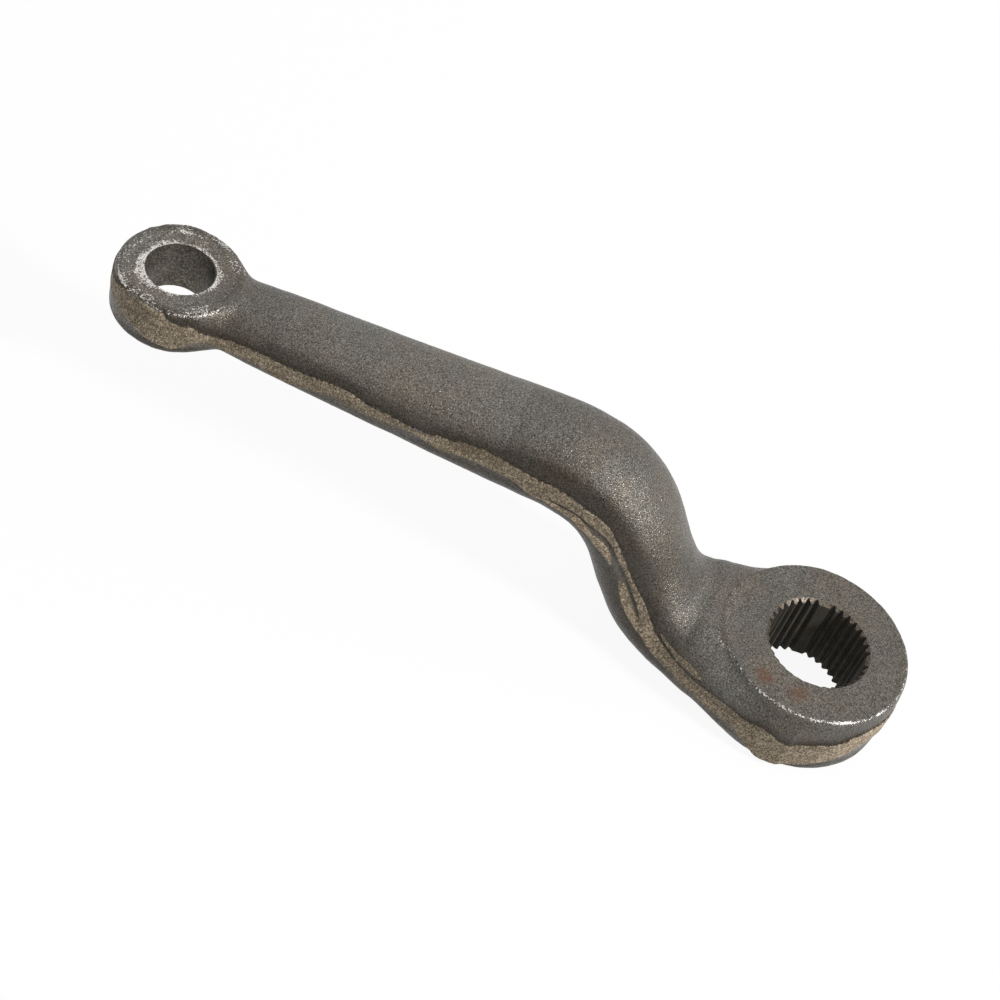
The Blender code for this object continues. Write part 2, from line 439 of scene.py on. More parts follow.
class Forging:
    """The distance to the forging's surface, negative inside, without its bores."""

    def __init__(self):
        low, high = (np.array(corner) / MM for corner in CAD_BOX)
        self.low, self.high = low - MARGIN, high + MARGIN
        self.spine = Spine(self.low[[0, 2]], self.high[[0, 2]])
        self.wave = Lumps(5, SEED)
        self.swell = Lumps(9, SEED + 1)
        self.dent = Lumps(3.1, SEED + 2)
        self.grain = Lumps(1.15, SEED + 3)
        self.long_run = np.linspace(-60, 260, 3200)
        far = self.flash_edges(FAR_FLASH)
        self.edges = [(self.curve(NEAR_TOP), self.curve(NEAR_BOTTOM)), far]
        self.small_places = [
            (*self.flash_edges(table), table[0][0], table[-1][0])
            for table in (LOWER_STRIP, CRANK_PATCH, FOOT_STRIP)
        ]
        self.sections = [
            smooth_through([s[0] for s in ARM_SECTIONS], [s[i] for s in ARM_SECTIONS], self.long_run)
            for i in (2, 3, 4)
        ]

    def without_die_shift(self, x, y, height):
        """The place in plan as if the lower die stood under the upper one."""
        under = smooth_step(1.5, -2.5, height)
        return x - under * DIE_SHIFT[0], y - under * DIE_SHIFT[1]

    def curve(self, points):
        return smooth_through(*zip(*points), self.long_run)

    def flash_edges(self, table):
        run, top, bottom = zip(*table)
        return self.curve(list(zip(run, top))), self.curve(list(zip(run, bottom)))

    def at_run(self, values, run):
        return np.interp(run, self.long_run, values)

    def round_the_edge(self, x, y, z, along, height):
        """How far round the forging's edge a point lies, and its height above the parting line."""
        shaft_angle = np.degrees(np.arctan2(np.abs(y), x))
        stud_angle = np.degrees(np.arctan2(np.abs(y), CENTRES - x))
        turn = SHAFT_LAND_RADIUS * math.pi / 180
        shaft_run = RUN_LEAVES_SHAFT_EYE - (shaft_angle - ANGLE_LEAVES_SHAFT_EYE) * turn
        turn = STUD_LAND_RADIUS * math.pi / 180
        stud_run = RUN_MEETS_STUD_EYE + (stud_angle - ANGLE_MEETS_STUD_EYE) * turn
        in_shaft_eye = 1 - smooth_step(9, 16, x)
        in_stud_eye = smooth_step(194, 199, x)
        run = along * (1 - in_shaft_eye) + shaft_run * in_shaft_eye
        run = run * (1 - in_stud_eye) + stud_run * in_stud_eye
        rise = height * (1 - in_shaft_eye) + (z - FOOT_PARTING) * in_shaft_eye
        rise = rise * (1 - in_stud_eye) + (z - STUD_PARTING) * in_stud_eye
        return run, rise

    def inside_flash(self, run, rise, near_side):
        """Distance inside the first strip, up or down to its nearest edge, and inside the small places."""
        near = smooth_step(-6, 6, near_side)
        top, bottom = (
            self.at_run(a, run) * near + self.at_run(b, run) * (1 - near)
            for a, b in zip(*self.edges)
        )
        zero = np.zeros_like(run)
        side = np.sign(near_side)
        top = top + 0.1 * self.wave(run, 40 + 10 * side, zero) + 0.14 * self.wave(run * 3.4, 7 + side, zero)
        bottom = bottom + 0.14 * self.wave(run, 80 + 10 * side, zero)
        bottom = bottom + 0.14 * self.wave(run * 3, 3 + side, zero)
        main = np.minimum(top - rise, rise - bottom)
        small = np.full_like(rise, -9.0)
        for place_top, place_bottom, start, end in self.small_places:
            ragged = 0.16 * self.wave(run * 1.6, 20 + start, zero)
            place = np.minimum(
                self.at_run(place_top, run) + ragged - rise,
                rise - self.at_run(place_bottom, run) + ragged,
            )
            place = np.minimum(place, STRIP_END_SLOPE * np.minimum(run - start, end - run))
            small = np.maximum(small, place)
        return main, np.where(near_side > 0, small, -9.0)

    def plan(self, x, y, along, past_end):
        """Distance outside the trimmed flash as seen from above."""
        arm = np.maximum(np.abs(y) - self.at_run(self.sections[0], along), past_end - 0.2)
        shaft_eye = np.hypot(x - SHAFT_MIDDLE[0], y - SHAFT_MIDDLE[1]) - self.shaft_land(x)
        stud_eye = np.hypot(x - STUD_MIDDLE[0], y - STUD_MIDDLE[1]) - STUD_LAND_RADIUS
        return smooth_min(smooth_min(arm, shaft_eye, SHAFT_PLAN_BLEND), stud_eye, STUD_BLEND)

    def shaft_land(self, x):
        """The shaft eye's radius at the flash, which is trimmed closer at the eye's far end."""
        return SHAFT_LAND_RADIUS - SHAFT_END_TRIM * smooth_step(5, -20, x)

    def beside(self, y, along):
        """Distance beside the arm's middle, which the neck has a little to the side that shows."""
        return np.abs(y - NECK_SHIFT * bell(along, NECK, 11))

    def arm(self, y, along, height, past_end):
        half_width, dome, belly = (self.at_run(size, along) for size in self.sections)
        side = half_width - LAND_STEP
        across = self.beside(y, along) / side
        land = 2.2
        up = np.maximum(height - land, 0) / (dome - land)
        down = np.maximum(-height - land, 0) / (belly - land)
        tall = up + down
        dome_power = DOME_POWER + (NECK_DOME_POWER - DOME_POWER) * smooth_step(56, 16, along)
        belly_power = BELLY_POWER + (FOOT_BELLY_POWER - BELLY_POWER) * smooth_step(26, 8, along)
        power = np.where(height > 0, dome_power, belly_power)
        reach = np.maximum((across**power + tall**power) ** (1 / power), 0.2)
        tallness = np.where(height > 0, dome, belly) - land
        slope = np.hypot((across / reach) ** (power - 1) / side, (tall / reach) ** (power - 1) / tallness)
        body = (reach - 1) / np.maximum(slope, 1e-3)
        return np.maximum(body, past_end - 0.2)

    def eye(self, x, y, z, base, top, face_radius, land_radius, edges):
        radius = np.hypot(x, y)
        side = np.minimum(face_radius + (top - z) * DRAFT, face_radius + (z - base) * DRAFT)
        wall = radius - np.minimum(side, land_radius - LAND_STEP)
        upper_edge, lower_edge = edges
        return smooth_max(smooth_max(wall, z - top, upper_edge), base - z, lower_edge)

    def __call__(self, x, y, z):
        along, height, past_end = self.spine(x, z)
        shifted_x, shifted_y = self.without_die_shift(x, y, height)
        arm = self.arm(shifted_y, along, height, past_end)
        shaft_land = self.shaft_land(shifted_x)
        shaft_x, shaft_y = shifted_x - SHAFT_MIDDLE[0], shifted_y - SHAFT_MIDDLE[1]
        shaft_eye = self.eye(
            shaft_x, shaft_y, z, 0, SHAFT_TOP, SHAFT_FACE_RADIUS, shaft_land, SHAFT_EDGES
        )
        stud_x, stud_y = shifted_x - STUD_MIDDLE[0], shifted_y - STUD_MIDDLE[1]
        stud_eye = self.eye(
            stud_x, stud_y, z, STUD_BASE, STUD_TOP, STUD_FACE_RADIUS, STUD_LAND_RADIUS, STUD_EDGES
        )
        shaft_blend = 1.5 + 5.5 * smooth_step(25, 17, z) * smooth_step(-1, 6, z)
        body = smooth_min(smooth_min(arm, shaft_eye, shaft_blend), stud_eye, STUD_BLEND)
        for middle, base, top, radius, fillet in (
            (SHAFT_MIDDLE, 0, SHAFT_TOP, SHAFT_FACE_RADIUS + 0.5, 4.0),
            (STUD_MIDDLE, STUD_BASE, STUD_TOP, STUD_FACE_RADIUS - 0.3, 5.0),
        ):
            within = radius - np.hypot(x - middle[0], y - middle[1])
            body = smooth_max(body, smooth_min(z - top, within, fillet), 0.6)
            body = smooth_max(body, smooth_min(base - z, within + 6, fillet), 0.6)
        run, rise = self.round_the_edge(shifted_x, shifted_y, z, along, height)
        flash, small = self.inside_flash(run, rise, shifted_y)
        plan = self.plan(shifted_x, shifted_y, along, past_end)
        band = smooth_max(plan, -flash, 0.25)
        inset = np.where(rise > 0, UPPER_INSET, LOWER_INSET)
        small_band = smooth_max(plan + inset, -small, 0.25)
        return smooth_min(body, smooth_min(band, small_band, 0.2), 0.3)

    def rough(self, x, y, z):
        """The same with the scale's unevenness."""
        return (
            self(x, y, z)
            + SWELL_HEIGHT * self.swell(x, y, z)
            + DENT_HEIGHT * self.dent(x, y, z)
            + GRAIN_HEIGHT * self.grain(x, y, z)
        )


def sample_grid(forging):
    """The field on a grid: one value for a block that is far from the surface, every point near it."""
    blocks = [math.ceil((high - low) / (BLOCK * CELL)) for low, high in zip(forging.low, forging.high)]
    axes = [low + CELL * np.arange(count * BLOCK) for low, count in zip(forging.low, blocks)]
    middles = [axis[::BLOCK] + (BLOCK - 1) / 2 * CELL for axis in axes]
    field = forging(*np.meshgrid(*middles, indexing="ij")).astype(np.float32)
    for axis in range(3):
        field = field.repeat(BLOCK, axis)
    near = np.nonzero(np.abs(field) < BLOCK * CELL * NEAR_SHARE)
    field[near] = forging(*(axis[index] for axis, index in zip(axes, near)))
    return axes, field


def surface_net(axes, field):
    """A mesh with one vertex in each grid cell that the surface crosses, and a quad at each crossing."""
    inside = field < 0
    shape = np.array(field.shape)
    cells = shape - 1
    total = np.zeros(cells, np.float32)
    place = np.zeros((3, *cells), np.float32)
    corner = [slice(0, -1), slice(1, None)]
    for axis in range(3):
        a, b = (axis + 1) % 3, (axis + 2) % 3
        for ia in (0, 1):
            for ib in (0, 1):
                first = [None] * 3
                first[axis], first[a], first[b] = corner[0], corner[ia], corner[ib]
                second = list(first)
                second[axis] = corner[1]
                f0, f1 = field[tuple(first)], field[tuple(second)]
                crossed = inside[tuple(first)] != inside[tuple(second)]
                share = np.where(crossed, f0 / np.where(crossed, f0 - f1, 1), 0)
                total += crossed
                place[axis] += share
                place[a] += crossed * ia
                place[b] += crossed * ib
    used = total > 0
    number = np.full(cells, -1)
    number[used] = np.arange(used.sum())
    origin = np.array([axis[0] for axis in axes])
    points = np.stack([(np.nonzero(used)[i] + place[i][used] / total[used]) * CELL for i in range(3)], 1)
    quads = []
    for axis in range(3):
        a, b = (axis + 1) % 3, (axis + 2) % 3
        first, second = [slice(None)] * 3, [slice(None)] * 3
        first[axis], second[axis] = slice(0, -1), slice(1, None)
        leaves = inside[tuple(first)] & ~inside[tuple(second)]
        enters = ~inside[tuple(first)] & inside[tuple(second)]
        for crossing, order in ((leaves, (0, 1, 2, 3)), (enters, (3, 2, 1, 0))):
            at = np.stack(np.nonzero(crossing), 1)
            ring = []
            for da, db in ((0, 0), (-1, 0), (-1, -1), (0, -1)):
                step = np.zeros(3, int)
                step[a], step[b] = da, db
                ring.append(number[tuple((at + step).T)])
            quads.append(np.stack([ring[i] for i in order[::-1]], 1))
    return points + origin, np.concatenate(quads)


def settle(points, distance):
    """Moves points along the field's slope on to the surface."""
    reach = 0.05
    for _ in range(SETTLE_STEPS):
        value = distance(*points.T)
        slope = np.stack([distance(*(points + reach * step).T) - value for step in np.eye(3)], 1) / reach
        size = np.maximum((slope**2).sum(1), 0.25)
        points = points - np.clip(value / size, -CELL, CELL)[:, None] * slope
    return points


def mesh_object(name, points, faces, materials):
    data = bpy.data.meshes.new(name)
    data.from_pydata((points * MM).tolist(), [], faces.tolist())
    data.update()
    piece = bpy.data.objects.new(name, data)
    bpy.context.scene.collection.objects.link(piece)
    for material in materials:
        data.materials.append(material)
    return piece


def apply_modifiers(piece):
    """Gives the object the mesh that its modifiers make, and drops them."""
    bpy.context.view_layer.update()
    made = bpy.data.meshes.new_from_object(piece.evaluated_get(bpy.context.evaluated_depsgraph_get()))
    piece.modifiers.clear()
    piece.data = made


def thin_out(piece):
    faces = sum(len(polygon.vertices) - 2 for polygon in piece.data.polygons)
    reduce = piece.modifiers.new("Reduce", "DECIMATE")
    reduce.ratio = min(1, TRIANGLES / faces)
    apply_modifiers(piece)


def prism(name, outline, bottom, top, material):
    """A closed upright solid over a flat outline of (x, y) points in millimetres."""
    mesh = bmesh.new()
    lower = [mesh.verts.new((x * MM, y * MM, bottom * MM)) for x, y in outline]
    face = mesh.faces.new(lower)
    raised = bmesh.ops.extrude_face_region(mesh, geom=[face])["geom"]
    lifted = [item for item in raised if isinstance(item, bmesh.types.BMVert)]
    bmesh.ops.translate(mesh, verts=lifted, vec=(0, 0, (top - bottom) * MM))
    bmesh.ops.recalc_face_normals(mesh, faces=mesh.faces)
    return helper(name, mesh, material)


def turned_cutter(name, profile, centre, sides, material):
    """A closed solid turned about Z, from (radius, z) points that run down its outer side."""
    mesh = bmesh.new()
    rings = []
    for radius, z in profile:
        ring = []
        for i in range(sides):
            angle = 2 * math.pi * i / sides
            ring.append(mesh.verts.new((
                (centre + radius * math.cos(angle)) * MM, radius * math.sin(angle) * MM, z * MM,
            )))
        rings.append(ring)
    for upper, lower in zip(rings, rings[1:]):
        for i in range(sides):
            j = (i + 1) % sides
            mesh.faces.new((upper[i], lower[i], lower[j], upper[j]))
    mesh.faces.new(rings[0])
    mesh.faces.new(rings[-1][::-1])
    bmesh.ops.recalc_face_normals(mesh, faces=mesh.faces)
    return helper(name, mesh, material)


def helper(name, mesh, material):
    data = bpy.data.meshes.new(name)
    mesh.to_mesh(data)
    mesh.free()
    data.materials.append(material)
    piece = bpy.data.objects.new(name, data)
    bpy.context.scene.collection.objects.link(piece)
    return piece


def serration_outline():
    """Corners of the serrated hole. A blind pitch keeps the tooth tip radius all the way across."""
    pitch = 2 * math.pi / PITCHES
    corners = []
    for i in range(PITCHES):
        groove = SERRATION_TURN + i * pitch
        radius = TOOTH_TIP_RADIUS if i % BLIND_EVERY == 0 else GROOVE_RADIUS
        half_floor, half_gap = FLOOR_SHARE * pitch / 2, (1 - TIP_SHARE) * pitch / 2
        corners += [(TOOTH_TIP_RADIUS, groove - half_gap), (radius, groove - half_floor)]
        corners += [(radius, groove + half_floor), (TOOTH_TIP_RADIUS, groove + half_gap)]
    return [(r * math.cos(a), r * math.sin(a)) for r, a in corners]


def bore_cutters(serration, chamfer, taper):
    past = 2.0
    mouth = GROOVE_RADIUS + SHAFT_CHAMFER
    depth = mouth - TOOTH_TIP_RADIUS + SHAFT_CHAMFER
    cone = ((mouth + past, SHAFT_TOP + past), (mouth - depth, SHAFT_TOP - depth))
    stud_mouth = TAPER_LARGE_RADIUS + STUD_CHAMFER
    small_end = TAPER_LARGE_RADIUS - TAPER_SLOPE * (STUD_TOP - STUD_BASE + past)
    taper_profile = (
        (stud_mouth + past, STUD_TOP + past),
        (TAPER_LARGE_RADIUS, STUD_TOP - STUD_CHAMFER),
        (small_end, STUD_BASE - past),
    )
    return (
        prism("serrations", serration_outline(), -past, SHAFT_TOP + past, serration),
        turned_cutter("serration_chamfer", cone, 0, CUTTER_SIDES, chamfer),
        turned_cutter("taper", taper_profile, CENTRES, CUTTER_SIDES, taper),
    )


def cut(piece, cutters):
    for cutter in cutters:
        boolean = piece.modifiers.new(cutter.name, "BOOLEAN")
        boolean.operation = "DIFFERENCE"
        boolean.solver = "EXACT"
        boolean.material_mode = "TRANSFER"
        boolean.object = cutter
    apply_modifiers(piece)
    for cutter in cutters:
        bpy.data.objects.remove(cutter)


def drop_fins(piece):
    """Joins corners in the same place, makes triangles, and deletes those that lie back to back."""
    mesh = bmesh.new()
    mesh.from_mesh(piece.data)
    bmesh.ops.remove_doubles(mesh, verts=mesh.verts, dist=SAME_PLACE * MM)
    bmesh.ops.triangulate(mesh, faces=mesh.faces)
    faces_by_corners = {}
    for face in mesh.faces:
        faces_by_corners.setdefault(frozenset(face.verts), []).append(face)
    fins = [face for group in faces_by_corners.values() if len(group) > 1 for face in group]
    bmesh.ops.delete(mesh, geom=fins, context="FACES")
    mesh.to_mesh(piece.data)
    mesh.free()


def bell(value, middle, width):
    return np.exp(-(((value - middle) / width) ** 2))


def turn_between(angle, middle):
    """Degrees from one direction to another, between -180 and 180."""
    return (angle - middle + 180) % 360 - 180


def write_attribute(data, name, kind, values):
    layer = data.attributes.new(name, kind, "POINT")
    field = "vector" if kind == "FLOAT_VECTOR" else "value"
    layer.data.foreach_set(field, np.ascontiguousarray(values, np.float32).ravel())


def paint(piece, forging):
    """Writes where the flash, the bright wear with a painted rim highlight, the painted shade and the rust
    are, for the materials.
    """
    data = piece.data
    points = np.empty(len(data.vertices) * 3, np.float32)
    data.vertices.foreach_get("co", points)
    x, y, z = (points.reshape(-1, 3) / MM).T.astype(float)
    along, height, past_end = forging.spine(x, z)
    shifted_x, shifted_y = forging.without_die_shift(x, y, height)
    run, rise = forging.round_the_edge(shifted_x, shifted_y, z, along, height)
    main, small = forging.inside_flash(run, rise, shifted_y)
    away_from_edge = -forging.plan(shifted_x, shifted_y, along, past_end)
    ground = np.maximum(main, small) - 3.0 * np.maximum(away_from_edge - 0.9, 0)
    stained = np.minimum(rise - STAIN_BOTTOM, 0.15 * np.minimum(run - STAIN[0], STAIN[1] - run))
    write_attribute(data, "flash", "FLOAT", np.clip(ground, -6, 6))
    write_attribute(data, "strip", "FLOAT_VECTOR", np.stack([run, rise, 20 * np.sign(y)], 1))
    write_attribute(data, "stain", "FLOAT", np.where(y > 0, smooth_step(-0.3, 0.5, stained), 0))
    write_attribute(data, "pale", "FLOAT", pale(run, rise, main, small))
    write_attribute(data, "bright", "FLOAT", np.clip(wear_and_rim_highlight(x, y, z), -6, 1.2))
    write_attribute(data, "rust", "FLOAT", rust(x, y, z))
    # Painted shade: in the crevices, on the flank and the bend, on the eye's wall and under the parting line
    write_attribute(data, "painted_shade", "FLOAT", painted_shade(run, rise, main, small, away_from_edge, x, y, z))


def pale(run, rise, main, small):
    """Where the ground flash is lighter: its lower small places, a ridge under the stain, the shaft
    eye's far end and the stud eye's lower edge."""
    ridge = bell(rise, RIDGE, 0.7) * smooth_step(STAIN[0], STAIN[0] + 4, run)
    ridge = ridge * smooth_step(STAIN[1] + 6, STAIN[1], run)
    far_end = smooth_step(-8, -24, run)
    places = smooth_step(-0.2, 0.4, small) * (rise < 0)
    stud_edge = bell(main, 0.4, 0.35) * (rise < 0) * smooth_step(202, 208, run)
    return np.clip(places + 0.8 * ridge + far_end + stud_edge, 0, 1)


def worn_arc(radius, angle, ring, middle, half_length, half_width):
    """Millimetres inside a worn arc of a ring."""
    return half_width * bell(turn_between(angle, middle), 0, half_length) - np.abs(radius - ring)


def wear_and_rim_highlight(x, y, z):
    """Millimetres inside the silvery wear round the tapered bore and along the stud eye's rims, inside a
    scratch across the neck, and inside a painted highlight along the shaft eye's rim.
    """
    dx = x - CENTRES
    radius, angle = np.hypot(dx, y), np.degrees(np.arctan2(y, dx))
    outer = np.hypot(x - STUD_MIDDLE[0], y - STUD_MIDDLE[1])
    ring_width = (
        0.9
        + 2.6 * bell(turn_between(angle, 45), 0, 44)
        + 0.8 * bell(turn_between(angle, -165), 0, 35)
        + 0.3 * bell(turn_between(angle, -60), 0, 30)
        - 0.7 * bell(turn_between(angle, 112), 0, 24)
    )
    worn = np.maximum.reduce([
        ring_width - (radius - TAPER_LARGE_RADIUS),
        2.5 * worn_arc(outer, angle, 17.8, 42, 20, 0.42),
        2.5 * worn_arc(outer, angle, 17.8, 88, 18, 0.2),
        2.0 * worn_arc(outer, angle, 17.8, 146, 14, 0.34),
        worn_arc(outer, angle, 15.2, -72, 14, 0.9),
        worn_arc(outer, angle, 16.7, -108, 14, 0.6),
        worn_arc(outer, angle, 16.6, -141, 9, 0.5),
        -1.0 - 3 * np.maximum(outer - 17, 0),
    ])
    stud = worn - 4 * np.maximum(np.abs(z - STUD_TOP) - 0.6, 0)
    shaft_x, shaft_y = x - SHAFT_MIDDLE[0], y - SHAFT_MIDDLE[1]
    turn = np.degrees(np.arctan2(shaft_y, shaft_x))
    off_rim = np.hypot(np.hypot(shaft_x, shaft_y) - SHAFT_FACE_RADIUS + 0.25, z - SHAFT_TOP + 0.2)
    # The crisp and the dull line along the shaft eye's upper rim are a painted highlight, brightest where
    # the key lamp's reflection falls
    crisp = 0.38 * smooth_step(103, 118, turn) * smooth_step(158, 145, turn)
    dull = 0.2 * smooth_step(34, 46, turn) * smooth_step(112, 100, turn)
    line_x, line_y = x - LINE_START[0], y - LINE_START[1]
    line_length_squared = LINE_REACH[0] ** 2 + LINE_REACH[1] ** 2
    along_line = (line_x * LINE_REACH[0] + line_y * LINE_REACH[1]) / line_length_squared
    along_line = np.clip(along_line, 0, 1)
    off_line = np.hypot(line_x - LINE_REACH[0] * along_line, line_y - LINE_REACH[1] * along_line)
    line = LINE_HALF_WIDTH - off_line - np.maximum(LINE_LOWEST - z, 0)
    shaft = np.maximum.reduce([3 * (crisp - off_rim), 1.5 * (dull - off_rim), line])
    return np.where(x > CENTRES / 2, stud, shaft)


def rust(x, y, z):
    """Rust spots on the shaft eye's face, and weaker brown tints on the neck and the eye's wall."""
    spots = (
        ((11.7, 20.2, 25), 2.2, 2.0),
        ((1, 20.8, 25), 2.5, 1.9),
        ((30, 2, 25), 4.0, 0.3),
        ((-6, 24, 17), 3.0, 0.25),
    )
    total = 0
    for middle, size, strength in spots:
        away = np.sqrt(sum((a - b) ** 2 for a, b in zip((x, y, z), middle)))
        total = total + strength * bell(away, 0, size)
    return np.clip(total, 0, 1)


def painted_shade(run, rise, main, small, away_from_edge, x, y, z):
    """Painted shade, as darker scale: along the flash and its grooves, on the flank and the bend, on the
    shaft eye's wall and the stud eye's neck, under the parting line, and thinly elsewhere; the stud eye's
    face and a place on the neck are kept out of the thin shade, which paints them lighter."""
    above = rise > 0
    by_edge = smooth_step(4.5, 2, away_from_edge)
    crevice = (0.55 * bell(main, -0.55, 0.6) + 0.45 * bell(main, -0.5, 2.6)) * above * by_edge
    flank = 0.5 * bell(rise, 4.5, 4.5) * smooth_step(192, 172, run) * smooth_step(20, 40, run)
    bend = 0.8 * bell(run, 84, 18) * bell(rise, 3.5, 4.5)
    wall = 0.3 * smooth_step(24.4, 22.5, z) * smooth_step(16, 8, x) * above
    beside_stud = 0.8 * bell(run, 200, 7) * bell(main, -1.5, 2.2) * above * by_edge
    stud_neck = 0.25 * bell(run, 190, 10) * above
    groove = (y > 0) * bell(main, -0.5, 0.6) * smooth_step(-3.0, -0.8, small) * by_edge
    below = 0.8 * smooth_step(-2, -6, rise)
    face = 0.1 * smooth_step(SHAFT_TOP - 1.5, SHAFT_TOP - 0.3, z) * smooth_step(34, 28, np.hypot(x, y))
    # Painted light: the stud eye's face and a place on the neck top are left out of the thin painted shade,
    # so they show lighter
    painted_lit_places = smooth_step(STUD_TOP - 1.2, STUD_TOP - 0.3, z) * (x > CENTRES / 2)
    painted_lit_places = painted_lit_places + 0.9 * bell(np.hypot(x - 34, y - 2), 0, 9) * above
    thin_painted_shade = 0.2 * (1 - painted_lit_places)
    edges = crevice + beside_stud + groove
    return np.clip(edges + flank + bend + wall + stud_neck + below + face + thin_painted_shade, 0, 1)


class Shader:
    """A material's node tree, with short calls to add nodes."""

    def __init__(self, name):
        self.material = bpy.data.materials.new(name)
        self.material.use_nodes = True
        self.tree = self.material.node_tree
        self.surface = self.tree.nodes["Principled BSDF"]

    def node(self, kind, **settings):
        node = self.tree.nodes.new(kind)
        for key, value in settings.items():
            setattr(node, key, value)
        return node

    def feed(self, socket, value):
        if isinstance(value, bpy.types.NodeSocket):
            self.tree.links.new(value, socket)
        else:
            socket.default_value = value

    def place(self):
        return self.node("ShaderNodeTexCoord").outputs["Object"]

    def attribute(self, name, output="Fac"):
        return self.node("ShaderNodeAttribute", attribute_name=name).outputs[output]

    def scaled(self, vector, scale):
        mapping = self.node("ShaderNodeMapping")
        self.feed(mapping.inputs["Vector"], vector)
        mapping.inputs["Scale"].default_value = scale
        return mapping.outputs["Vector"]

    def noise(self, vector, scale, detail, roughness):
        noise = self.node("ShaderNodeTexNoise")
        self.feed(noise.inputs["Vector"], vector)
        noise.inputs["Scale"].default_value = scale
        noise.inputs["Detail"].default_value = detail
        noise.inputs["Roughness"].default_value = roughness
        return noise.outputs["Fac"]

    def math(self, operation, a, b):
        node = self.node("ShaderNodeMath", operation=operation)
        self.feed(node.inputs[0], a)
        self.feed(node.inputs[1], b)
        return node.outputs[0]

    def remap(self, value, low, high, to_low=0.0, to_high=1.0, smooth=True):
        node = self.node("ShaderNodeMapRange", clamp=True)
        if smooth:
            node.interpolation_type = "SMOOTHSTEP"
        self.feed(node.inputs["Value"], value)
        for name, number in (("From Min", low), ("From Max", high), ("To Min", to_low), ("To Max", to_high)):
            node.inputs[name].default_value = number
        return node.outputs["Result"]

    def mix(self, share, a, b, blend="MIX"):
        node = self.node("ShaderNodeMix", data_type="RGBA", blend_type=blend)
        self.feed(node.inputs["Factor"], share)
        self.feed(node.inputs["A"], a)
        self.feed(node.inputs["B"], b)
        return node.outputs["Result"]

    def mix_value(self, share, a, b):
        node = self.node("ShaderNodeMix", data_type="FLOAT")
        self.feed(node.inputs["Factor"], share)
        self.feed(node.inputs["A"], a)
        self.feed(node.inputs["B"], b)
        return node.outputs["Result"]

    def bump(self, height, depth, strength, under=None):
        node = self.node("ShaderNodeBump")
        node.inputs["Strength"].default_value = strength
        node.inputs["Distance"].default_value = depth
        self.feed(node.inputs["Height"], height)
        if under is not None:
            self.feed(node.inputs["Normal"], under)
        return node.outputs["Normal"]

    def finish(self, colour, roughness, metallic, normal):
        self.feed(self.surface.inputs["Base Color"], colour)
        self.feed(self.surface.inputs["Roughness"], roughness)
        self.feed(self.surface.inputs["Metallic"], metallic)
        self.feed(self.surface.inputs["Normal"], normal)
        return self.material


